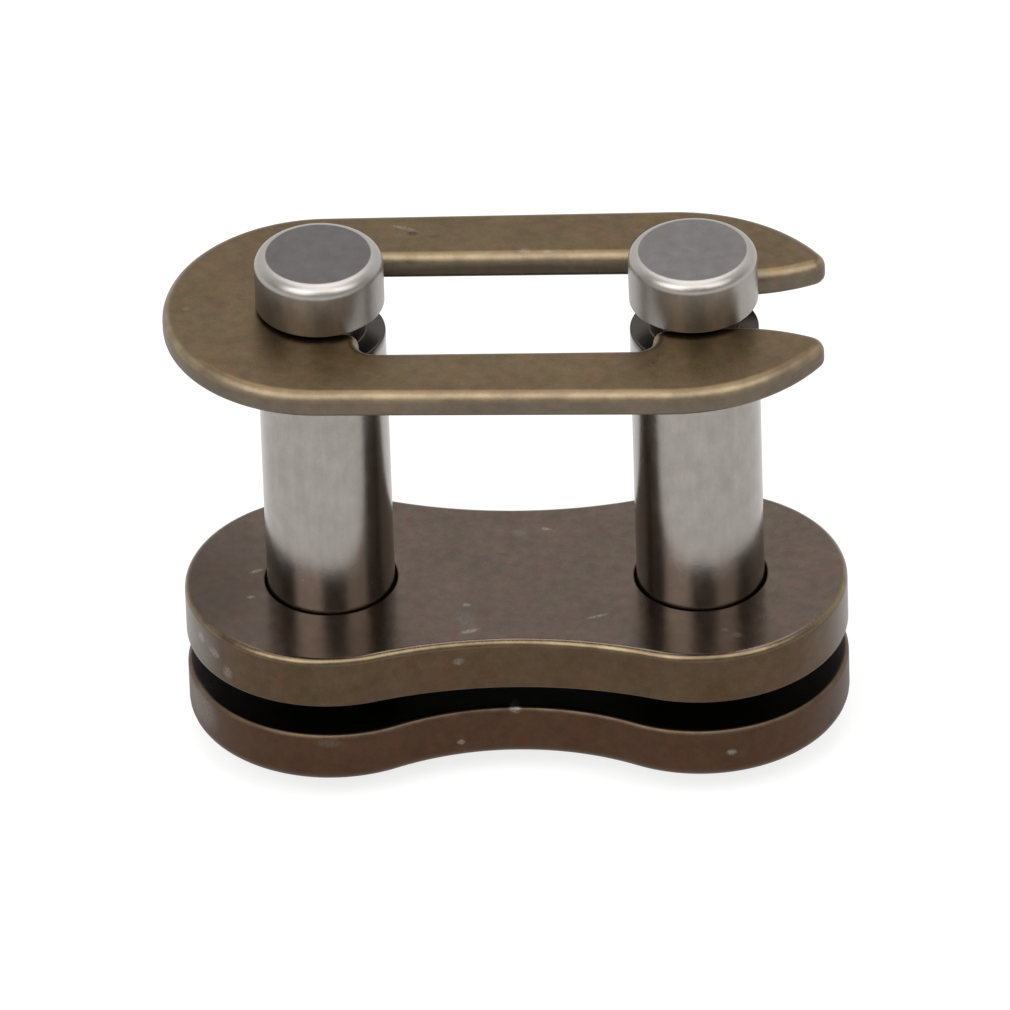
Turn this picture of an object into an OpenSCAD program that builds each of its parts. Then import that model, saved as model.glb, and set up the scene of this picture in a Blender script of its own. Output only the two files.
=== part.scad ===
// Roller chain connecting link: two pins riveted into a fixed plate,
// a loose cover plate on the pins and a spring clip in the pins' grooves.
// All sizes are in millimetres. Z runs up the pins from the rivet ends.

/* [Pins] */
// Distance between the pin axes, the pitch of the chain
pitch = 6.35; // [6:0.05:8]
// Diameter of each pin
pin_d = 2.2; // [1.9:0.05:2.4]
// Length of each pin, from the rivet end to the free end
pin_l = 9.7; // [8.5:0.1:14]
// Rounding of the rim at the free end
pin_rim_r = 0.19; // [0.05:0.01:0.3]
// Diameter of the groove that takes the spring clip
groove_d = 1.48; // [1.3:0.02:1.56]
// Height of the pin head above the groove
head_h = 0.98; // [0.6:0.02:1.5]
// Break of the sharp edges beside the groove
groove_edge = 0.04; // [0.02:0.01:0.08]

/* [Rivet ends] */
// Diameter of the swaged rivet end
rivet_d = 2.5; // [2.45:0.05:2.9]
// Height of the rivet end below the fixed plate
rivet_h = 0.44; // [0.3:0.02:0.7]
// Rounding of the rivet end
rivet_r = 0.26; // [0.1:0.02:0.28]

/* [Fixed plate] */
// Width of the fixed plate over a pin
plate_w = 5.04; // [4.7:0.02:5.5]
// Width of the fixed plate at its waist
plate_waist = 3.5; // [3:0.05:4.4]
// Thickness of the fixed plate
plate_t = 1.0; // [0.7:0.05:1.5]
// Rounding of the outer edge, where the punch drew the metal in
plate_roll_r = 0.25; // [0.05:0.01:0.3]
// Rounding of the inner edge
plate_edge_r = 0.1; // [0.03:0.01:0.3]

/* [Cover plate] */
// Width of the cover plate over a pin
cover_w = 5.04; // [4.7:0.02:5.5]
// Width of the cover plate at its waist
cover_waist = 4.0; // [3.4:0.05:4.6]
// Thickness of the cover plate
cover_t = 0.98; // [0.7:0.02:1.5]
// Gap left between the fixed plate and the cover plate
cover_gap = 0.59; // [0.3:0.01:3]
// Rounding of the upper edge
cover_roll_r = 0.13; // [0.05:0.01:0.3]
// Rounding of the lower edge
cover_edge_r = 0.06; // [0.03:0.01:0.3]
// Clearance between the cover plate's holes and the pins
cover_fit = 0.05; // [0.02:0.01:0.1]
// Width of the chamfer at the top of the cover plate's holes
cover_hole_edge = 0.07; // [0.03:0.01:0.15]

/* [Spring clip] */
// Thickness of the spring clip
clip_t = 0.47; // [0.42:0.01:0.7]
// Clearance above and below the clip in the groove
clip_play = 0.05; // [0.04:0.01:0.12]
// Radius of the closed end
clip_back_r = 2.74; // [2.4:0.02:3.1]
// Distance from the closed end's centre to the left pin's axis
clip_back_shift = 0.05; // [-0.1:0.01:0.2]
// Width over the legs at the open end
clip_w = 5.64; // [5.3:0.02:6]
// Radius of the taper towards the tips
taper_r = 3.05; // [2.8:0.05:3.4]
// Start of the taper, measured inwards from the right pin's axis
taper_back = 0.38; // [0.2:0.02:0.6]
// Reach of the tips past the right pin's axis
tip_reach = 2.22; // [2.1:0.02:2.4]
// Radius of the rounded tips
tip_r = 0.28; // [0.24:0.01:0.32]
// Width of the slot between the pins, wide enough for a pin head
slot_w = 2.8; // [2.76:0.02:3.1]
// Radius of the slot's corners
slot_r = 0.32; // [0.2:0.01:0.38]
// Reach of the jaws from a pin's axis towards the middle
jaw_reach = 0.68; // [0.5:0.02:0.9]
// Radius of the jaws' inner corners
jaw_r = 0.24; // [0.22:0.01:0.25]
// Clearance between the clip's seats and the grooves
seat_fit = 0.04; // [0.02:0.01:0.06]
// Amount by which each side of the throat is tighter than the groove
throat_snap = 0.02; // [0.01:0.005:0.025]
// Rounding of the clip's upper edge
clip_roll_r = 0.2; // [0.03:0.01:0.21]
// Rounding of the clip's lower edge
clip_edge_r = 0.13; // [0.03:0.01:0.2]

/* [Hidden] */
$fn = 96;
// Overlap of a cutter past the face it cuts
past = 0.1;
// Steps of the outlines round half a plate's lobe, along wide arcs, round small corners and over the edges
lobe_steps = 20;
wide_steps = 14;
corner_steps = 6;
edge_steps = 3;
// Points of an outline that lie closer than this are one point
same = 0.0005;

pin_r = pin_d / 2;
pin_x = pitch / 2;
groove_r = groove_d / 2;
groove_top = pin_l - head_h;
groove_h = clip_t + 2 * clip_play;
groove_z = groove_top - groove_h;
plate_z = rivet_h;
cover_z = plate_z + plate_t + cover_gap;
clip_z = groove_z + clip_play;

// Clip outline: centres and radii of its arcs on the upper leg
seat_r = groove_r + seat_fit;
throat_h = groove_r - throat_snap;
slot_h = slot_w / 2;
jaw_x = pin_x - jaw_reach;
back_c = [-pin_x + clip_back_shift, 0];
taper_c = [pin_x - taper_back, clip_w / 2 - taper_r];
tip_turn = acos((pin_x + tip_reach - tip_r - taper_c.x) / (taper_r - tip_r));
tip_c = taper_c + (taper_r - tip_r) * [cos(tip_turn), sin(tip_turn)];
// Direction square to the straight edge that joins the closed end and the taper
leg_d = taper_c - back_c;
leg_turn = atan2(leg_d.y, leg_d.x) + acos((clip_back_r - taper_r) / norm(leg_d));
// The throat is one arc that touches both the right seat and the tip's rounding
throat_a = seat_r - throat_h;
throat_b = seat_r + throat_h;
tip_off = tip_c - [pin_x, 0];
throat_l = tip_off.y - throat_h - tip_r;
throat_k = pow(tip_off.y - throat_h, 2) - pow(tip_r, 2);
throat_x = root(throat_l / throat_a - 1, 2 * tip_off.x,
                -(pow(tip_off.x, 2) + throat_k + throat_b * throat_l));
throat_r = (pow(throat_x, 2) / throat_a - throat_b) / 2;
throat_c = [pin_x + throat_x, throat_h + throat_r];
throat_end = atan2(tip_c.y - throat_c.y, tip_c.x - throat_c.x);
throat_start = atan2(-throat_c.y, -throat_x) + 360;

// Larger root of a*x^2 + b*x + c
function root(a, b, c) = (-b + sqrt(b * b - 4 * a * c)) / (2 * a);

// Outline points [x, y, normal x, normal y] along an arc; a negative side is a hollow arc
function arc(c, r, from, to, steps, side = 1) = [
    for (i = [0:steps])
        let (a = from + (to - from) * i / steps)
            [c.x + r * cos(a), c.y + r * sin(a), side * cos(a), side * sin(a)]
];

// The outline without points that repeat where one arc runs on into the next
function distinct(outline) =
    let (last = len(outline) - 1)
        [for (i = [0:last])
            if (i == last || norm([outline[i + 1].x - outline[i].x, outline[i + 1].y - outline[i].y]) > same)
                outline[i]];

// A whole outline from its back half, whose first and last points lie on the line of symmetry
function whole(half) = concat(half, [
    for (i = [len(half) - 2:-1:1])
        [half[i].x, -half[i].y, half[i][2], -half[i][3]]
]);

// Rounded edge of a slab: [inset, height] from the bottom face to the top face
function edge_profile(t, low_r, top_r) = concat(
    [for (i = [0:edge_steps])
        let (a = 90 * i / edge_steps) [low_r * (1 - sin(a)), low_r * (1 - cos(a))]],
    [for (i = [0:edge_steps])
        let (a = 90 * i / edge_steps) [top_r * (1 - cos(a)), t - top_r * (1 - sin(a))]]
);

// Place of a ring's point that is furthest to the right
function rightmost(ring, i = 0) = ring[i + 1].x > ring[i].x ? rightmost(ring, i + 1) : i;

// Places of the mirror images of some of a ring's n points
function mirrored(places, n) = [for (i = places) (n - i) % n];

// Triangles between two chains of a ring's points, which both run to the right
function fill(ring, over, under, i = 0, j = 0) =
    let (over_ends = i + 1 == len(over), under_ends = j + 1 == len(under))
    let (go_over = !over_ends && (under_ends || ring[over[i + 1]].x < ring[under[j + 1]].x))
        over_ends && under_ends ? []
        : go_over ? concat([[under[j], over[i], over[i + 1]]], fill(ring, over, under, i + 1, j))
        : concat([[under[j], over[i], under[j + 1]]], fill(ring, over, under, i, j + 1));

// Triangles that fill a ring: a plate from its back edge to its front edge, a forked shape leg by leg
function cap(ring) =
    let (n = len(ring), middle = n / 2, tip = rightmost(ring))
    let (outer = [for (i = [0:tip]) i], inner = [for (i = [middle:-1:tip + 1]) i])
        len(inner) == 0 ? fill(ring, outer, [for (i = [1:middle - 1]) n - i])
        : concat(fill(ring, outer, inner), fill(ring, mirrored(inner, n), mirrored(outer, n)));

// Punched slab: an outline given a thickness, with its lower and upper edges rounded
module slab(outline, t, low_r, top_r) {
    profile = edge_profile(t, low_r, top_r);
    n = len(outline);
    top = n * (len(profile) - 1);
    rings = [for (e = profile) [for (p = outline) [p.x - e[0] * p[2], p.y - e[0] * p[3], e[1]]]];
    bands = [for (k = [0:n:top - n], i = [0:n - 1])
        [k + i, k + (i + 1) % n, k + n + (i + 1) % n, k + n + i]];
    lower = [for (face = cap(rings[0])) [face[2], face[1], face[0]]];
    upper = [for (face = cap(rings[len(rings) - 1])) [for (i = face) top + i]];
    polyhedron([for (ring = rings, p = ring) p], concat(bands, lower, upper));
}

// Figure-eight outline of a link plate, clockwise: a lobe about each pin and a hollow waist
function link_outline(w, waist) =
    let (lobe_r = w / 2, waist_h = waist / 2)
    let (waist_r = (pow(pin_x, 2) + pow(waist_h, 2) - pow(lobe_r, 2)) / (2 * (lobe_r - waist_h)))
    let (waist_c = [0, waist_h + waist_r], join = atan2(waist_c.y, pin_x))
        whole(distinct(concat(
            arc([-pin_x, 0], lobe_r, 180, join, lobe_steps),
            arc(waist_c, waist_r, join - 180, -join, wide_steps, -1),
            arc([pin_x, 0], lobe_r, 180 - join, 0, lobe_steps)
        )));

// Pin, grooved at the free end and swaged at the rivet end
module pin(x) {
    translate([x, 0, 0])
        rotate_extrude() {
            translate([rivet_d / 2 - rivet_r, rivet_r])
                circle(rivet_r);
            polygon([
                [0, 0],
                [rivet_d / 2 - rivet_r, 0],
                [rivet_d / 2 - rivet_r, rivet_r],
                [rivet_d / 2, rivet_r],
                [rivet_d / 2, rivet_h],
                [pin_r, rivet_h],
                [pin_r, groove_z - groove_edge],
                [pin_r - groove_edge, groove_z],
                [groove_r, groove_z],
                [groove_r, groove_top],
                [pin_r - groove_edge, groove_top],
                [pin_r, groove_top + groove_edge],
                [pin_r, pin_l - pin_rim_r],
                [pin_r - pin_rim_r, pin_l - pin_rim_r],
                [pin_r - pin_rim_r, pin_l],
                [0, pin_l]
            ]);
            translate([pin_r - pin_rim_r, pin_l - pin_rim_r])
                circle(pin_rim_r);
        }
}

module pin_plate() {
    color("#4a3b33")
        translate([0, 0, plate_z])
            difference() {
                slab(link_outline(plate_w, plate_waist), plate_t, plate_roll_r, plate_edge_r);
                for (x = [-pin_x, pin_x])
                    translate([x, 0, -past])
                        cylinder(r = pin_r, h = plate_t + 2 * past);
            }
}

module left_pin() {
    color("#8f8c89")
        pin(-pin_x);
}

module right_pin() {
    color("#8f8c89")
        pin(pin_x);
}

module cover_plate() {
    hole_r = pin_r + cover_fit;
    color("#574b3d")
        translate([0, 0, cover_z])
            difference() {
                slab(link_outline(cover_w, cover_waist), cover_t, cover_edge_r, cover_roll_r);
                for (x = [-pin_x, pin_x])
                    translate([x, 0, 0]) {
                        translate([0, 0, -past])
                            cylinder(r = hole_r, h = cover_t + 2 * past);
                        translate([0, 0, cover_t - cover_hole_edge])
                            cylinder(r1 = hole_r, r2 = hole_r + cover_hole_edge + past,
                                     h = cover_hole_edge + past);
                    }
            }
}

// Back leg of the clip, clockwise from the closed end round the tip to the left seat
function clip_leg() = concat(
    arc(back_c, clip_back_r, 180, leg_turn, wide_steps),
    arc(taper_c, taper_r, leg_turn, tip_turn, wide_steps),
    arc(tip_c, tip_r, tip_turn, throat_end, corner_steps),
    arc(throat_c, throat_r, throat_end, throat_start - 360, corner_steps),
    arc([pin_x, 0], seat_r, throat_start - 180, 90, corner_steps, -1),
    arc([jaw_x + jaw_r, seat_r + jaw_r], jaw_r, -90, -180, corner_steps),
    arc([jaw_x - slot_r, slot_h - slot_r], slot_r, 0, 90, corner_steps, -1),
    arc([slot_r - jaw_x, slot_h - slot_r], slot_r, 90, 180, corner_steps, -1),
    arc([-jaw_x - jaw_r, seat_r + jaw_r], jaw_r, 0, -90, corner_steps),
    arc([-pin_x, 0], seat_r, 90, 180, wide_steps, -1)
);

module spring_clip() {
    color("#6b5d45")
        translate([0, 0, clip_z])
            slab(whole(distinct(clip_leg())), clip_t, clip_edge_r, clip_roll_r);
}

pin_plate();
left_pin();
right_pin();
cover_plate();
spring_clip();
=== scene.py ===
"""Looks of the roller chain connecting link: close meshes, metal finishes, lamps and camera."""

import math

import bmesh
import bpy
from mathutils import Matrix, Vector
from mathutils.geometry import tessellate_polygon


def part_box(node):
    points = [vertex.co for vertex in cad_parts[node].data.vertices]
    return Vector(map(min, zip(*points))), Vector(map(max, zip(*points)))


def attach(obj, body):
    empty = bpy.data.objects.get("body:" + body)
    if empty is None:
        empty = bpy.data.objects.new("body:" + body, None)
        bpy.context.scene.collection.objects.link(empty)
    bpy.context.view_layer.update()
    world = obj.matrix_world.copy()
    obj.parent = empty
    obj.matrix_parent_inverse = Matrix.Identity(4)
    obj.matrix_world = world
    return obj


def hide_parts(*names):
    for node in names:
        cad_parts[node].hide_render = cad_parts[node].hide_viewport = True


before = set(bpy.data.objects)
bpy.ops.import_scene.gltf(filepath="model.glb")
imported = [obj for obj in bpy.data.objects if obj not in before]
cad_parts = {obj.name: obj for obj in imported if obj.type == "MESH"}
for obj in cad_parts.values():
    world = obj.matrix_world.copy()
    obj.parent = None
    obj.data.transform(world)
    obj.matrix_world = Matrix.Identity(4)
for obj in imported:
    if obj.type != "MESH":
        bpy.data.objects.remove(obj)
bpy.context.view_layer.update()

MM = 0.001


def node_box(node):
    """Lowest and highest corner of a CAD node in millimetres."""
    return [[value / MM for value in corner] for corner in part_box(node)]


# Camera, in millimetres and degrees: it looks at the link's middle from a long way off
AIM = Vector((-0.13, 0.0, 5.06))
CAMERA_DISTANCE = 293.0
CAMERA_TURN = 2.28
CAMERA_HEIGHT = 34.95
CAMERA_ROLL = -1.93
CAMERA_DROP = 0.487
FOCAL_LENGTH = 610.5
SENSOR = 36.0
CLIP_RANGE = (10.0, 10000.0)


def direction(turn, height):
    """Unit vector towards a turn and a height in degrees; turn 0 is the front, 90 the right."""
    turn, height = math.radians(turn), math.radians(height)
    return Vector((math.sin(turn) * math.cos(height), -math.cos(turn) * math.cos(height), math.sin(height)))


def camera_axes():
    """Right, up and backward directions of the camera."""
    turn, roll = math.radians(CAMERA_TURN), math.radians(CAMERA_ROLL)
    back = direction(CAMERA_TURN, CAMERA_HEIGHT)
    level = Vector((math.cos(turn), math.sin(turn), 0))
    upright = back.cross(level)
    right = math.cos(roll) * level + math.sin(roll) * upright
    up = math.cos(roll) * upright - math.sin(roll) * level
    return right, up, back


def add_camera():
    """The camera, set a little below the line that runs back from the aim."""
    right, up, back = camera_axes()
    data = bpy.data.cameras.new("camera")
    data.lens = FOCAL_LENGTH
    data.sensor_width = SENSOR
    data.clip_start, data.clip_end = (value * MM for value in CLIP_RANGE)
    camera = bpy.data.objects.new("camera", data)
    place = (AIM - CAMERA_DROP * up + CAMERA_DISTANCE * back) * MM
    camera.matrix_world = Matrix.Translation(place) @ Matrix((right, up, back)).transposed().to_4x4()
    bpy.context.collection.objects.link(camera)
    bpy.context.scene.camera = camera


# Sizes in millimetres, as in the part's source, apart from small edge rounds and the fits of the holes
PIN_R = 1.1
GROOVE_R = 0.74
HEAD_H = 0.98
PIN_RIM_R = {"left_pin_close": 0.23, "right_pin_close": 0.2}
GROOVE_EDGE = 0.04
RIVET_D = 2.5
RIVET_H = 0.44
RIVET_ROUND = 0.26
RIVET_EDGE = 0.02
PLATE_W = 5.04
PLATE_WAIST = 3.5
PLATE_ROLL_R = 0.25
PLATE_EDGE_R = 0.1
PLATE_FIT = 0.004
PLATE_HOLE_EDGE = 0.02
COVER_W = 5.04
COVER_WAIST = 4.0
COVER_ROLL_R = 0.13
COVER_EDGE_R = 0.06
COVER_FIT = 0.035
COVER_HOLE_EDGE = 0.04
HOLE_FOOT_EDGE = 0.04
CLIP_PLAY = 0.05
CLIP_BACK_R = 2.74
CLIP_BACK_SHIFT = 0.05
CLIP_W = 5.64
TAPER_R = 3.05
TAPER_BACK = 0.38
TIP_REACH = 2.22
TIP_R = 0.28
SLOT_W = 2.8
SLOT_R = 0.32
JAW_REACH = 0.68
JAW_R = 0.24
SEAT_FIT = 0.04
THROAT_SNAP = 0.02
CLIP_ROLL_R = 0.2
CLIP_EDGE_R = 0.13

left_low, left_high = node_box("left_pin")
right_low, right_high = node_box("right_pin")
LEFT_X = (left_low[0] + left_high[0]) / 2
PIN_X = (right_low[0] + right_high[0]) / 2
PIN_TOP = left_high[2]
HEAD_Z = PIN_TOP - HEAD_H
SHOULDER_Z = node_box("spring_clip")[0][2] - CLIP_PLAY

# Steps round a full turn, along wide arcs, round small corners and over rounded edges
ROUND_STEPS = 192
WIDE_STEPS = 48
CORNER_STEPS = 14
EDGE_STEPS = 7
# Outline points nearer than this are one point
SAME = 0.0002


def rounded_path(corners):
    """Points (u, v, normal u, normal v) along a path with rounded corners, solid on its left."""
    path = []
    for i, (u, v, radius) in enumerate(corners):
        here = Vector((u, v))
        ahead = (Vector(corners[i + 1][:2]) - here).normalized() if i + 1 < len(corners) else None
        behind = (here - Vector(corners[i - 1][:2])).normalized() if i else None
        if ahead is None or behind is None:
            line = ahead or behind
            path.append((u, v, line.y, -line.x))
            continue
        turn = -behind.angle_signed(ahead)
        side = 1 if turn > 0 else -1
        start_normal = Vector((behind.y, -behind.x))
        start = here - behind * radius * math.tan(abs(turn) / 2)
        centre = start - side * radius * start_normal
        for k in range(EDGE_STEPS + 1):
            swing = turn * k / EDGE_STEPS
            normal = Vector((
                start_normal.x * math.cos(swing) - start_normal.y * math.sin(swing),
                start_normal.x * math.sin(swing) + start_normal.y * math.cos(swing),
            ))
            point = centre + side * radius * normal
            path.append((point.x, point.y, normal.x, normal.y))
    return path


def finish_mesh(name, points, normals, faces):
    """A mesh object with smooth faces and a normal set at every point, sizes in millimetres."""
    mesh = bpy.data.meshes.new(name)
    mesh.from_pydata([Vector(p) * MM for p in points], [], faces)
    mesh.polygons.foreach_set("use_smooth", [True] * len(mesh.polygons))
    mesh.normals_split_custom_set_from_vertices([Vector(n).normalized() for n in normals])
    mesh.update()
    piece = bpy.data.objects.new(name, mesh)
    bpy.context.collection.objects.link(piece)
    return piece


def lathe(name, path, x):
    """A solid turned about the upright axis at x. The path runs from the foot's centre to the top's."""
    points, normals, faces = [(x, 0, path[0][1])], [(0, 0, -1)], []
    inner = path[1:-1]
    for r, z, nr, nz in inner:
        for k in range(ROUND_STEPS):
            a = 2 * math.pi * k / ROUND_STEPS
            points.append((x + r * math.cos(a), r * math.sin(a), z))
            normals.append((nr * math.cos(a), nr * math.sin(a), nz))
    points.append((x, 0, path[-1][1]))
    normals.append((0, 0, 1))
    last = len(points) - 1
    for k in range(ROUND_STEPS):
        n = (k + 1) % ROUND_STEPS
        faces.append((0, 1 + n, 1 + k))
        for j in range(len(inner) - 1):
            low, high = 1 + j * ROUND_STEPS, 1 + (j + 1) * ROUND_STEPS
            faces.append((low + k, low + n, high + n, high + k))
        top = 1 + (len(inner) - 1) * ROUND_STEPS
        faces.append((top + k, top + n, last))
    return finish_mesh(name, points, normals, faces)


def arc(centre, r, start, end, steps, side=1):
    """Outline points (x, y, normal x, normal y) along an arc in degrees; side -1 is a hollow arc."""
    points = []
    for i in range(steps + 1):
        a = math.radians(start + (end - start) * i / steps)
        out_x, out_y = math.cos(a), math.sin(a)
        points.append((centre[0] + r * out_x, centre[1] + r * out_y, side * out_x, side * out_y))
    return points


def distinct(outline):
    """The outline without points that repeat where one arc runs on into the next."""
    pairs = zip(outline, outline[1:] + outline[:1])
    return [p for p, q in pairs if math.hypot(q[0] - p[0], q[1] - p[1]) > SAME]


def link_outline(width, waist):
    """Figure-eight outline of a link plate, clockwise."""
    lobe_r, waist_h = width / 2, waist / 2
    waist_r = (PIN_X ** 2 + waist_h ** 2 - lobe_r ** 2) / (2 * (lobe_r - waist_h))
    waist_y = waist_h + waist_r
    join = math.degrees(math.atan2(waist_y, PIN_X))
    return distinct(
        arc((PIN_X, 0), lobe_r, 180 - join, join - 180, 2 * WIDE_STEPS)
        + arc((0, -waist_y), waist_r, join, 180 - join, WIDE_STEPS, -1)
        + arc((-PIN_X, 0), lobe_r, 360 - join, join, 2 * WIDE_STEPS)
        + arc((0, waist_y), waist_r, join - 180, -join, WIDE_STEPS, -1)
    )


def clip_outline():
    """Outline of the spring clip, clockwise, worked out as in the part's source."""
    seat_r = GROOVE_R + SEAT_FIT
    throat_h = GROOVE_R - THROAT_SNAP
    slot_h = SLOT_W / 2
    jaw_x = PIN_X - JAW_REACH
    back_c = Vector((-PIN_X + CLIP_BACK_SHIFT, 0))
    taper_c = Vector((PIN_X - TAPER_BACK, CLIP_W / 2 - TAPER_R))
    tip_turn = math.acos((PIN_X + TIP_REACH - TIP_R - taper_c.x) / (TAPER_R - TIP_R))
    tip_c = taper_c + (TAPER_R - TIP_R) * Vector((math.cos(tip_turn), math.sin(tip_turn)))
    leg = taper_c - back_c
    leg_turn = math.degrees(math.atan2(leg.y, leg.x) + math.acos((CLIP_BACK_R - TAPER_R) / leg.length))
    # The throat is one arc that touches both the right seat and the tip's rounding
    tighter, wider = seat_r - throat_h, seat_r + throat_h
    off = tip_c - Vector((PIN_X, 0))
    spare = off.y - throat_h - TIP_R
    rise = (off.y - throat_h) ** 2 - TIP_R ** 2
    a, b, c = spare / tighter - 1, 2 * off.x, -(off.x ** 2 + rise + wider * spare)
    throat_x = (-b + math.sqrt(b * b - 4 * a * c)) / (2 * a)
    throat_r = (throat_x ** 2 / tighter - wider) / 2
    throat_c = Vector((PIN_X + throat_x, throat_h + throat_r))
    to_tip = tip_c - throat_c
    throat_end = math.degrees(math.atan2(to_tip.y, to_tip.x))
    throat_start = math.degrees(math.atan2(-throat_c.y, -throat_x))
    upper = (
        arc(back_c, CLIP_BACK_R, 180, leg_turn, WIDE_STEPS)
        + arc(taper_c, TAPER_R, leg_turn, math.degrees(tip_turn), WIDE_STEPS)
        + arc(tip_c, TIP_R, math.degrees(tip_turn), throat_end, CORNER_STEPS)
        + arc(throat_c, throat_r, throat_end, throat_start, WIDE_STEPS // 2)
        + arc((PIN_X, 0), seat_r, throat_start + 180, 90, CORNER_STEPS, -1)
        + arc((jaw_x + JAW_R, seat_r + JAW_R), JAW_R, -90, -180, CORNER_STEPS)
        + arc((jaw_x - SLOT_R, slot_h - SLOT_R), SLOT_R, 0, 90, CORNER_STEPS, -1)
        + arc((SLOT_R - jaw_x, slot_h - SLOT_R), SLOT_R, 90, 180, CORNER_STEPS, -1)
        + arc((-jaw_x - JAW_R, seat_r + JAW_R), JAW_R, 0, -90, CORNER_STEPS)
        + arc((-PIN_X, 0), seat_r, 90, 180, WIDE_STEPS, -1)
    )
    return distinct(upper + [(x, -y, nx, -ny) for x, y, nx, ny in reversed(upper)])


def edge_profile(t, low_r, top_r):
    """(inset, height, outward part, upward part of the normal) from the bottom face to the top face."""
    path = rounded_path([(0, 0, 0), (1, 0, low_r), (1, t, top_r), (0, t, 0)])[1:-1]
    return [(1 - u, v, nu, nv) for u, v, nu, nv in path]


def slab(name, node, outline, low_r, top_r, hole_r=0.0, hole_edge=0.0):
    """A slab as high as the CAD node, with rounded edges and, where hole_r is given, a hole at each pin."""
    low, high = node_box(node)
    z, t = low[2], high[2] - low[2]
    rings = [(outline, edge_profile(t, low_r, top_r))]
    for x in (-PIN_X, PIN_X) if hole_r else ():
        rim = arc((x, 0), hole_r, 0, 360 - 360 / ROUND_STEPS, ROUND_STEPS - 1, -1)
        rings.append((rim, edge_profile(t, HOLE_FOOT_EDGE, hole_edge)))
    points, normals, faces, floors, roofs = [], [], [], [], []
    for ring, profile in rings:
        n, first = len(ring), len(points)
        for inset, height, out, up in profile:
            for x, y, nx, ny in ring:
                points.append((x - inset * nx, y - inset * ny, z + height))
                normals.append((nx * out, ny * out, up))
        for j in range(len(profile) - 1):
            low, high = first + j * n, first + (j + 1) * n
            faces += [(low + k, high + k, high + (k + 1) % n, low + (k + 1) % n) for k in range(n)]
        floors.append(list(range(first, first + n)))
        roofs.append(list(range(len(points) - n, len(points))))
    for loops in (floors, roofs):
        flat = [i for loop in loops for i in loop]
        cut = tessellate_polygon([[Vector(points[i]) for i in loop] for loop in loops])
        faces += [tuple(flat[k] for k in triangle) for triangle in cut]
    piece = finish_mesh(name, points, normals, faces)
    turned = bmesh.new()
    turned.from_mesh(piece.data)
    bmesh.ops.recalc_face_normals(turned, faces=turned.faces)
    turned.to_mesh(piece.data)
    turned.free()
    piece.data.normals_split_custom_set_from_vertices([Vector(n).normalized() for n in normals])
    return piece


def pin(name, x):
    """A pin: riveted foot, shank, groove and head, with its end face on top."""
    return lathe(name, rounded_path([
        (0, 0, 0),
        (RIVET_D / 2, 0, RIVET_ROUND),
        (RIVET_D / 2, RIVET_H, RIVET_EDGE),
        (PIN_R, RIVET_H, RIVET_EDGE),
        (PIN_R, SHOULDER_Z, GROOVE_EDGE),
        (GROOVE_R, SHOULDER_Z, GROOVE_EDGE),
        (GROOVE_R, HEAD_Z, GROOVE_EDGE),
        (PIN_R, HEAD_Z, GROOVE_EDGE),
        (PIN_R, PIN_TOP, PIN_RIM_R[name]),
        (0, PIN_TOP, 0),
    ]), x)


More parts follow.
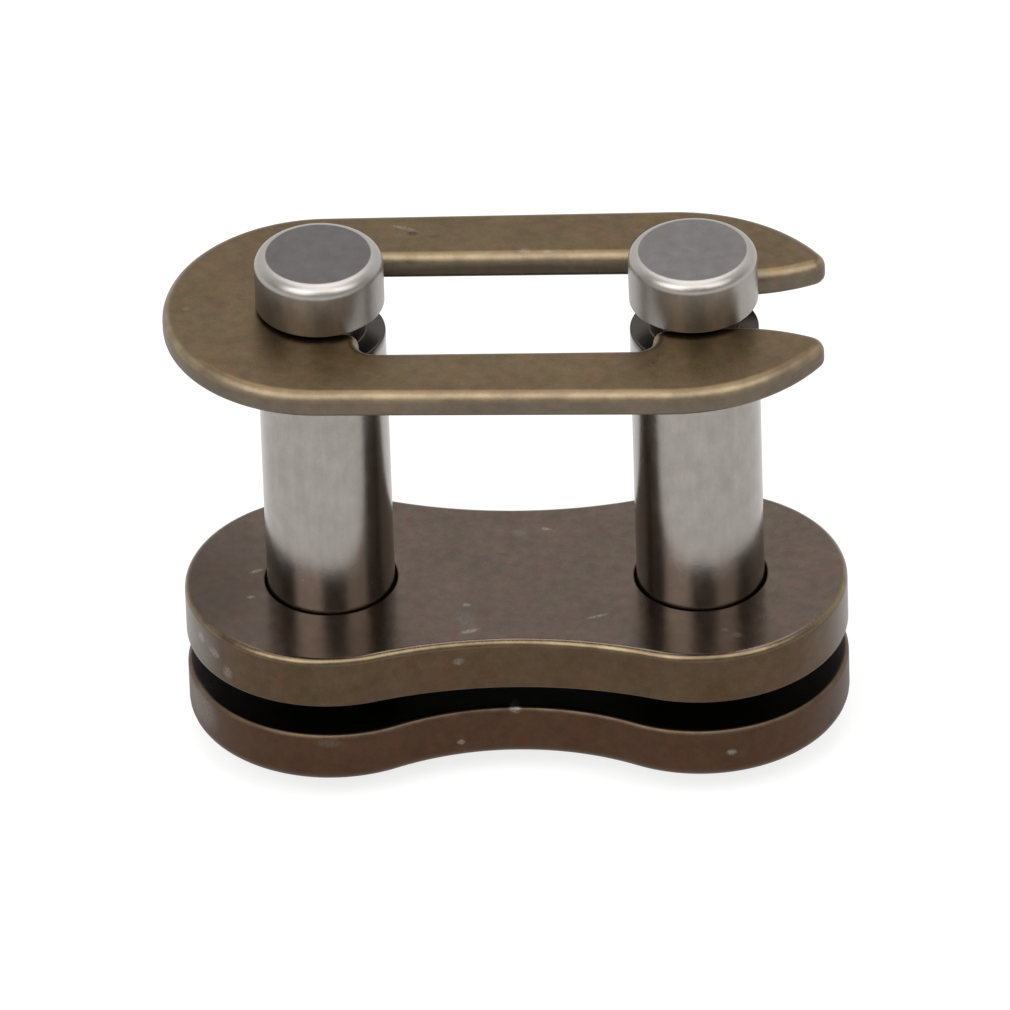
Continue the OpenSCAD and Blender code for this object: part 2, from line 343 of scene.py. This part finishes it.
class Finish:
    """Builds a metal finish from nodes. Coordinates are the piece's own, in millimetres."""

    def __init__(self, name):
        self.material = bpy.data.materials.new(name)
        self.material.use_nodes = True
        self.tree = self.material.node_tree
        self.shader = self.tree.nodes["Principled BSDF"]
        self.shader.inputs["Metallic"].default_value = 1.0
        place = self.node("ShaderNodeTexCoord")
        scaled = self.node("ShaderNodeVectorMath", operation="SCALE")
        scaled.inputs["Scale"].default_value = 1 / MM
        self.link(place.outputs["Object"], scaled.inputs[0])
        self.place = scaled.outputs[0]
        self.height = self.third(self.place)
        self.slope = self.third(place.outputs["Normal"])
        self.upward = self.value("ABSOLUTE", self.slope)

    def node(self, kind, **settings):
        """A new node with its settings."""
        made = self.tree.nodes.new(kind)
        for key, value in settings.items():
            setattr(made, key, value)
        return made

    def link(self, a, b):
        """Joins the socket a to the socket b."""
        self.tree.links.new(a, b)

    def third(self, vector):
        """The Z part of a vector."""
        split = self.node("ShaderNodeSeparateXYZ")
        self.link(vector, split.inputs[0])
        return split.outputs[2]

    def value(self, operation, a, b=0.0, c=0.0):
        """A math node of up to three inputs, each a number or a socket."""
        made = self.node("ShaderNodeMath", operation=operation)
        for socket, given in zip(made.inputs, (a, b, c)):
            if isinstance(given, (int, float)):
                socket.default_value = given
            else:
                self.link(given, socket)
        return made.outputs[0]

    def product(self, *factors):
        """All the factors multiplied together."""
        total = factors[0]
        for factor in factors[1:]:
            total = self.value("MULTIPLY", total, factor)
        return total

    def noise(self, scale, detail=4.0, stretch=(1, 1, 1), offset=(0, 0, 0)):
        """Noise from 0 to 1 with grains of about 1/scale millimetres."""
        mapping = self.node("ShaderNodeMapping")
        mapping.inputs["Scale"].default_value = stretch
        mapping.inputs["Location"].default_value = offset
        texture = self.node("ShaderNodeTexNoise")
        texture.inputs["Scale"].default_value = scale
        texture.inputs["Detail"].default_value = detail
        self.link(self.place, mapping.inputs["Vector"])
        self.link(mapping.outputs[0], texture.inputs["Vector"])
        return texture.outputs[0]

    def ramp(self, source, low, high):
        """0 at low, 1 at high, smooth between; low may be the greater of the two."""
        made = self.node("ShaderNodeMapRange", interpolation_type="SMOOTHSTEP")
        made.inputs["From Min"].default_value = min(low, high)
        made.inputs["From Max"].default_value = max(low, high)
        self.link(source, made.inputs["Value"])
        return made.outputs[0] if low < high else self.value("SUBTRACT", 1.0, made.outputs[0])

    def shade(self, source, amount):
        """A grey that swings by amount either way round 1 as the source goes from 0 to 1."""
        return self.value("MULTIPLY_ADD", source, 2 * amount, 1 - amount)

    def mix(self, factor, a, b, blend="MIX"):
        """Colour a with b over it; the factor is a number or a socket, and so is each colour."""
        made = self.node("ShaderNodeMix", data_type="RGBA", blend_type=blend)
        sockets = {s.identifier: s for s in made.inputs}
        for key, given in (("Factor_Float", factor), ("A_Color", a), ("B_Color", b)):
            if isinstance(given, (int, float)):
                sockets[key].default_value = given
            elif isinstance(given, tuple):
                sockets[key].default_value = (*given, 1)
            else:
                self.link(given, sockets[key])
        return made.outputs[2]

    def mark(self, centre, reach, turn=0.0, soft=0.3):
        """1 inside a small ellipsoid, fading to 0 at its edge. The turn is in degrees about Z."""
        mapping = self.node("ShaderNodeMapping", vector_type="TEXTURE")
        mapping.inputs["Location"].default_value = centre
        mapping.inputs["Rotation"].default_value = (0, 0, math.radians(turn))
        mapping.inputs["Scale"].default_value = reach
        self.link(self.place, mapping.inputs["Vector"])
        length = self.node("ShaderNodeVectorMath", operation="LENGTH")
        self.link(mapping.outputs[0], length.inputs[0])
        return self.ramp(length.outputs["Value"], 1.0, soft)

    def finish(self, colour, roughness, relief, depth):
        """Wire up the shader; depth is the height of the relief in millimetres."""
        bump = self.node("ShaderNodeBump")
        bump.inputs["Distance"].default_value = depth * MM
        self.link(relief, bump.inputs["Height"])
        self.link(bump.outputs[0], self.shader.inputs["Normal"])
        self.link(colour, self.shader.inputs["Base Color"])
        self.link(roughness, self.shader.inputs["Roughness"])
        return self.material


# How the browned steel shifts in hue from patch to patch, and heights of relief in millimetres
REDDER = (1.07, 0.98, 0.94)
GREENER = (0.96, 1.01, 0.9)
OXIDE_RELIEF = 0.0012
STEEL_RELIEF = 0.001
# Ground steel, in linear colour: the shank, the rubbed rim of the head, and the painted shade in the groove
SHANK = (0.305, 0.280, 0.256)
RUBBED_RIM = (0.47, 0.448, 0.42)
GROOVE_PAINTED_SHADE = (0.045, 0.038, 0.032)
END_FACES = {"left_pin": (0.128, 0.119, 0.117), "right_pin": (0.178, 0.166, 0.164)}


def oxide_finish(name, face, side, worn, rough, marks, painted_shades):
    """Browned steel: faces and sheared sides differ, edges are worn bright, with mottling, marks and painted
    shade.
    """
    f = Finish(name)
    flat = f.ramp(f.upward, 0.75, 0.97)
    blotch = f.noise(1.3, 3.0)
    patches = f.noise(5.0, 4.0, offset=(1, 5, 8))
    tint = f.noise(2.8, 3.0, offset=(7, 3, 5))
    grains = f.noise(28.0, 5.0)
    scuffs = f.noise(2.6, 2.0, offset=(2, 9, 4))
    colour = f.mix(flat, side, face)
    colour = f.mix(f.ramp(tint, 0.52, 0.68), colour, f.mix(1.0, colour, REDDER, "MULTIPLY"))
    colour = f.mix(f.ramp(tint, 0.48, 0.32), colour, f.mix(1.0, colour, GREENER, "MULTIPLY"))
    tone = f.product(f.shade(blotch, 0.2), f.shade(patches, 0.28), f.shade(grains, 0.22))
    colour = f.mix(1.0, colour, tone, "MULTIPLY")
    rubbing = f.shade(f.ramp(scuffs, 0.3, 0.7), 0.35)
    edge = f.product(f.ramp(f.slope, 0.05, 0.6), f.ramp(f.slope, 1.0, 0.75), rubbing)
    colour = f.mix(f.product(edge, f.shade(grains, 0.3), 0.7), colour, worn)
    # Painted shade first, smooth; then the marks, broken up by the grains
    for layer, cover in ((painted_shades, 1.0), (marks, f.ramp(grains, 0.25, 0.6))):
        for stain_or_painted_shade, strength, *shape in layer:
            colour = f.mix(f.product(f.mark(*shape), cover, strength), colour, stain_or_painted_shade)
    rounding = f.value("SUBTRACT", 1.0, flat)
    roughness = f.value("MULTIPLY_ADD", rounding, 0.12, f.value("MULTIPLY_ADD", grains, 0.16, rough - 0.08))
    roughness = f.value("MULTIPLY_ADD", patches, 0.08, roughness)
    return f.finish(colour, roughness, f.value("ADD", grains, patches), OXIDE_RELIEF)


def pin_finish(name, end_face):
    """Ground pin steel with a duller end face, a bright rim, a softer head and painted shade in the groove.
    """
    f = Finish(name)
    end = f.product(f.ramp(f.slope, 0.985, 0.9995), f.ramp(f.height, PIN_TOP - 0.1, PIN_TOP - 0.02))
    rim = f.product(f.ramp(f.slope, 0.03, 0.3), f.ramp(f.height, HEAD_Z, PIN_TOP))
    grains = f.noise(26.0, 5.0)
    blotch = f.noise(1.7, 3.0)
    clouds = f.noise(4.5, 5.0, stretch=(1, 1, 0.6))
    lines = f.noise(16.0, 3.0, stretch=(1, 1, 0.08))
    tone = f.product(f.shade(grains, 0.1), f.shade(blotch, 0.1), f.shade(clouds, 0.2), f.shade(lines, 0.07))
    colour = f.mix(1.0, f.mix(end, SHANK, end_face), tone, "MULTIPLY")
    colour = f.mix(f.product(rim, f.value("SUBTRACT", 1.0, end), 0.5), colour, RUBBED_RIM)
    # Painted shade: the groove and the top of the shank, under the clip, are darkened
    above_shank = f.ramp(f.height, SHOULDER_Z - 0.2, SHOULDER_Z - 0.03)
    below_head = f.ramp(f.height, HEAD_Z + 0.03, HEAD_Z)
    colour = f.mix(f.product(above_shank, below_head, 0.9), colour, GROOVE_PAINTED_SHADE)
    head = f.ramp(f.height, HEAD_Z - 0.02, HEAD_Z + 0.02)
    roughness = f.value("MULTIPLY_ADD", head, 0.12, f.value("MULTIPLY_ADD", grains, 0.1, 0.15))
    roughness = f.value("MULTIPLY_ADD", clouds, 0.08, roughness)
    return f.finish(colour, roughness, grains, STEEL_RELIEF)


def dress(piece, material, body, node):
    """Gives a piece its material and its body, and hides the CAD node that it stands in for."""
    piece.data.materials.append(material)
    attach(piece, body)
    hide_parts(node)


# Marks, and painted shades, on the surfaces: colour, strength, centre, reach each way, turn and where it
# starts to fade
PALE = (0.31, 0.29, 0.26)
GREASE = (0.16, 0.155, 0.15)
DARK = (0.03, 0.022, 0.016)
# Near black painted shade on the plates' facing sides, in the gap between them
GAP_PAINTED_SHADE = (0.02, 0.014, 0.01)
COVER_MARKS = [
    (GREASE, 0.45, (-0.83, -1.35, 3.0), (0.24, 0.5, 0.05), 10),
    (PALE, 0.6, (-0.83, -0.89, 3.0), (0.1, 0.08, 0.05)),
    (PALE, 0.7, (-0.76, -1.67, 3.0), (0.24, 0.08, 0.05), 20),
    (PALE, 0.55, (1.42, -1.27, 3.0), (0.27, 0.05, 0.05), 21),
    (PALE, 0.7, (0.49, 1.35, 3.0), (0.13, 0.06, 0.05), -15),
    (GREASE, 0.5, (0.04, 1.23, 3.0), (0.2, 0.16, 0.05)),
    (DARK, 0.35, (-0.24, 0.6, 3.0), (0.2, 0.05, 0.05), -14),
    (DARK, 0.3, (-0.3, 0.05, 3.0), (0.12, 0.12, 0.05)),
    (PALE, 0.55, (-4.47, 0.18, 3.0), (0.17, 0.06, 0.05), 25),
    (PALE, 0.6, (-4.53, -0.59, 3.0), (0.1, 0.06, 0.05)),
    (PALE, 0.65, (3.83, -1.86, 3.0), (0.13, 0.09, 0.05)),
    (PALE, 0.4, (3.6, -1.7, 3.0), (0.1, 0.07, 0.05)),
    (PALE, 0.55, (-4.22, -0.3, 3.0), (0.1, 0.28, 0.1), 20),
    (GREASE, 0.4, (-5.35, -1.25, 2.5), (0.5, 0.8, 0.6)),
    (PALE, 0.5, (-5.38, -1.22, 2.63), (0.09, 0.2, 0.12)),
    (PALE, 0.4, (-5.15, -1.57, 2.54), (0.16, 0.2, 0.12)),
    (PALE, 0.35, (-4.92, -1.81, 2.3), (0.12, 0.2, 0.16)),
    (PALE, 0.3, (-0.95, -2.06, 2.65), (0.13, 0.2, 0.1)),
]
PLATE_MARKS = [
    (PALE, 0.8, (-0.02, -1.75, 1.46), (0.14, 0.3, 0.16)),
    (PALE, 0.6, (-0.96, -1.86, 0.81), (0.09, 0.3, 0.07)),
    (PALE, 0.55, (3.69, -2.47, 0.98), (0.12, 0.3, 0.08)),
    (PALE, 0.12, (-3.19, -2.52, 1.3), (0.3, 0.3, 0.14)),
    (PALE, 0.3, (-5.4, -1.1, 1.1), (0.5, 0.8, 0.5)),
    (DARK, 0.6, (5.39, -1.2, 0.81), (0.07, 0.3, 0.3)),
]
# Painted shade: the cover's top face darker towards its left end, and its underside in the gap near black
COVER_PAINTED_SHADES = [
    (DARK, 0.5, (-5.4, -0.3, 3.0), (2.2, 3.0, 0.06), 0, 0.1),
    (GAP_PAINTED_SHADE, 1.0, (0.0, 0.0, 2.0), (8.0, 8.0, 0.06), 0, 0.9),
]
# Painted shade: the fixed plate's top face, in the gap under the cover, near black
PLATE_PAINTED_SHADES = [
    (GAP_PAINTED_SHADE, 1.0, (0.0, 0.0, 1.47), (8.0, 8.0, 0.06), 0, 0.9),
]
# Painted shade: the inner wall of the slot's back leg darkened
CLIP_PAINTED_SHADES = [
    (DARK, 0.6, (0.0, 1.4, 8.3), (3.4, 0.12, 0.26), 0, 0.5),
]
CLIP_MARKS = [
    (DARK, 0.85, (-1.66, 2.11, 8.66), (0.13, 0.09, 0.08)),
    (DARK, 0.35, (-1.3, 2.02, 8.66), (0.14, 0.08, 0.08)),
    (PALE, 0.4, (-1.8, 2.28, 8.66), (0.34, 0.06, 0.08), -22),
    (PALE, 0.35, (0.27, 1.58, 8.62), (0.16, 0.1, 0.1)),
    (PALE, 0.25, (0.66, 1.55, 8.62), (0.14, 0.1, 0.1)),
    (PALE, 0.25, (-5.45, -0.09, 8.66), (0.1, 0.08, 0.08)),
]


# The three browned finishes, in linear colour: faces, sheared sides, worn edges, roughness, marks and painted
# shades
FIXED_PLATE_OXIDE = (
    (0.085, 0.058, 0.044), (0.070, 0.038, 0.0235), (0.14, 0.098, 0.065), 0.32, PLATE_MARKS, PLATE_PAINTED_SHADES,
)
COVER_PLATE_OXIDE = (
    (0.122, 0.091, 0.074), (0.081, 0.053, 0.033), (0.23, 0.176, 0.105), 0.16, COVER_MARKS, COVER_PAINTED_SHADES,
)
SPRING_CLIP_BRONZE = (
    (0.132, 0.092, 0.051), (0.140, 0.112, 0.085), (0.33, 0.255, 0.16), 0.3, CLIP_MARKS, CLIP_PAINTED_SHADES,
)


def add_link():
    """All five pieces, each in place of its CAD node."""
    for name, x in (("left_pin", LEFT_X), ("right_pin", PIN_X)):
        steel = pin_finish(name + "_steel", END_FACES[name])
        dress(pin(name + "_close", x), steel, "pin_link", name)
    plate = slab(
        "pin_plate_close", "pin_plate", link_outline(PLATE_W, PLATE_WAIST), PLATE_ROLL_R, PLATE_EDGE_R,
        PIN_R + PLATE_FIT, PLATE_HOLE_EDGE,
    )
    oxide = oxide_finish("fixed_plate_oxide", *FIXED_PLATE_OXIDE)
    dress(plate, oxide, "pin_link", "pin_plate")
    cover = slab(
        "cover_plate_close", "cover_plate", link_outline(COVER_W, COVER_WAIST), COVER_EDGE_R, COVER_ROLL_R,
        PIN_R + COVER_FIT, COVER_HOLE_EDGE,
    )
    oxide = oxide_finish("cover_plate_oxide", *COVER_PLATE_OXIDE)
    dress(cover, oxide, "cover", "cover_plate")
    clip = slab("spring_clip_close", "spring_clip", clip_outline(), CLIP_EDGE_R, CLIP_ROLL_R)
    bronze = oxide_finish("spring_clip_bronze", *SPRING_CLIP_BRONZE)
    dress(clip, bronze, "clip", "spring_clip")


# Studio: sizes in millimetres, strengths as plain radiance where white is 1
FLOOR_SIZE = 1200.0
LIT_POINT = Vector((0, 0, 5))
FLOOR_GLOW = 0.8
FLOOR_PAPER = 0.3
WORLD_LIGHT = 0.15
ROOM_LIGHT = 0.28
TOP_LIGHT = 1.8
LEFT_LIGHT = 3.4
RIGHT_LIGHT = 3.0
# The dim room starts this far above the horizon, and this far towards the front
ROOM_RISE = (0.02, 0.14)
ROOM_FRONT = (0.5, -0.2)


def direct_rays(tree):
    """1 for camera, glossy and transmission rays, else 0."""
    path = tree.nodes.new("ShaderNodeLightPath")
    total = path.outputs["Is Camera Ray"]
    for name in ("Is Glossy Ray", "Is Transmission Ray"):
        joined = tree.nodes.new("ShaderNodeMath")
        joined.operation = "MAXIMUM"
        tree.links.new(total, joined.inputs[0])
        tree.links.new(path.outputs[name], joined.inputs[1])
        total = joined.outputs[0]
    return total


def seen_strength(tree, seen, unseen):
    """Strength of a backdrop: one value where it is seen or mirrored, another for the light it gives."""
    strength = tree.nodes.new("ShaderNodeMath")
    strength.operation = "MULTIPLY_ADD"
    strength.inputs[1].default_value = seen - unseen
    strength.inputs[2].default_value = unseen
    tree.links.new(direct_rays(tree), strength.inputs[0])
    return strength.outputs[0]


def add_floor():
    """White paper that takes a faint shadow."""
    half = FLOOR_SIZE / 2 * MM
    mesh = bpy.data.meshes.new("floor")
    corners = [(-half, -half, 0), (half, -half, 0), (half, half, 0), (-half, half, 0)]
    mesh.from_pydata(corners, [], [(0, 1, 2, 3)])
    floor = bpy.data.objects.new("floor", mesh)
    bpy.context.collection.objects.link(floor)
    material = bpy.data.materials.new("floor_white")
    material.use_nodes = True
    tree = material.node_tree
    tree.nodes.clear()
    paper = tree.nodes.new("ShaderNodeBsdfDiffuse")
    paper.inputs["Color"].default_value = (FLOOR_PAPER, FLOOR_PAPER, FLOOR_PAPER, 1)
    glow = tree.nodes.new("ShaderNodeEmission")
    both = tree.nodes.new("ShaderNodeAddShader")
    out = tree.nodes.new("ShaderNodeOutputMaterial")
    tree.links.new(seen_strength(tree, FLOOR_GLOW, 0.0), glow.inputs["Strength"])
    tree.links.new(paper.outputs[0], both.inputs[0])
    tree.links.new(glow.outputs[0], both.inputs[1])
    tree.links.new(both.outputs[0], out.inputs["Surface"])
    mesh.materials.append(material)


def direction_band(tree, source, low, high):
    """0 at low, 1 at high, smooth between, from one part of the direction that a ray runs in."""
    made = tree.nodes.new("ShaderNodeMapRange")
    made.interpolation_type = "SMOOTHSTEP"
    made.inputs["From Min"].default_value = low
    made.inputs["From Max"].default_value = high
    tree.links.new(source, made.inputs["Value"])
    return made.outputs[0]


def add_world():
    """White all round, with a dim room in front, above the horizon, that only metal mirrors."""
    world = bpy.data.worlds.new("studio")
    bpy.context.scene.world = world
    world.use_nodes = True
    tree = world.node_tree
    backdrop = tree.nodes["Background"]
    backdrop.inputs["Color"].default_value = (1, 1, 1, 1)
    place = tree.nodes.new("ShaderNodeTexCoord")
    split = tree.nodes.new("ShaderNodeSeparateXYZ")
    tree.links.new(place.outputs["Generated"], split.inputs[0])
    path = tree.nodes.new("ShaderNodeLightPath")
    dim = path.outputs["Is Glossy Ray"]
    for socket, (low, high) in ((split.outputs[2], ROOM_RISE), (split.outputs[1], ROOM_FRONT)):
        band = tree.nodes.new("ShaderNodeMath")
        band.operation = "MULTIPLY"
        tree.links.new(dim, band.inputs[0])
        tree.links.new(direction_band(tree, socket, low, high), band.inputs[1])
        dim = band.outputs[0]
    strength = tree.nodes.new("ShaderNodeMath")
    strength.operation = "MULTIPLY_ADD"
    strength.inputs[1].default_value = ROOM_LIGHT - 1.0
    tree.links.new(dim, strength.inputs[0])
    tree.links.new(seen_strength(tree, 1.0, WORLD_LIGHT), strength.inputs[2])
    tree.links.new(strength.outputs[0], backdrop.inputs["Strength"])


def add_softbox(name, turn, height, distance, width, depth, strength):
    """A rectangular lamp that faces the link; its strength is the radiance, where white is 1."""
    data = bpy.data.lights.new(name, "AREA")
    data.shape = "RECTANGLE"
    data.size = width * MM
    data.size_y = depth * MM
    data.energy = strength * math.pi * width * depth * MM * MM
    lamp = bpy.data.objects.new(name, data)
    back = direction(turn, height)
    lamp.location = (LIT_POINT + back * distance) * MM
    lamp.rotation_euler = back.to_track_quat("Z", "Y").to_euler()
    bpy.context.collection.objects.link(lamp)


add_camera()
add_link()
add_floor()
add_world()
add_softbox("top_softbox", turn=0, height=86, distance=220, width=180, depth=360, strength=TOP_LIGHT)
add_softbox("left_softbox", turn=-40, height=42, distance=230, width=170, depth=140, strength=LEFT_LIGHT)
add_softbox("right_softbox", turn=50, height=46, distance=230, width=130, depth=120, strength=RIGHT_LIGHT)

scene = bpy.context.scene
scene.view_settings.view_transform = "Standard"
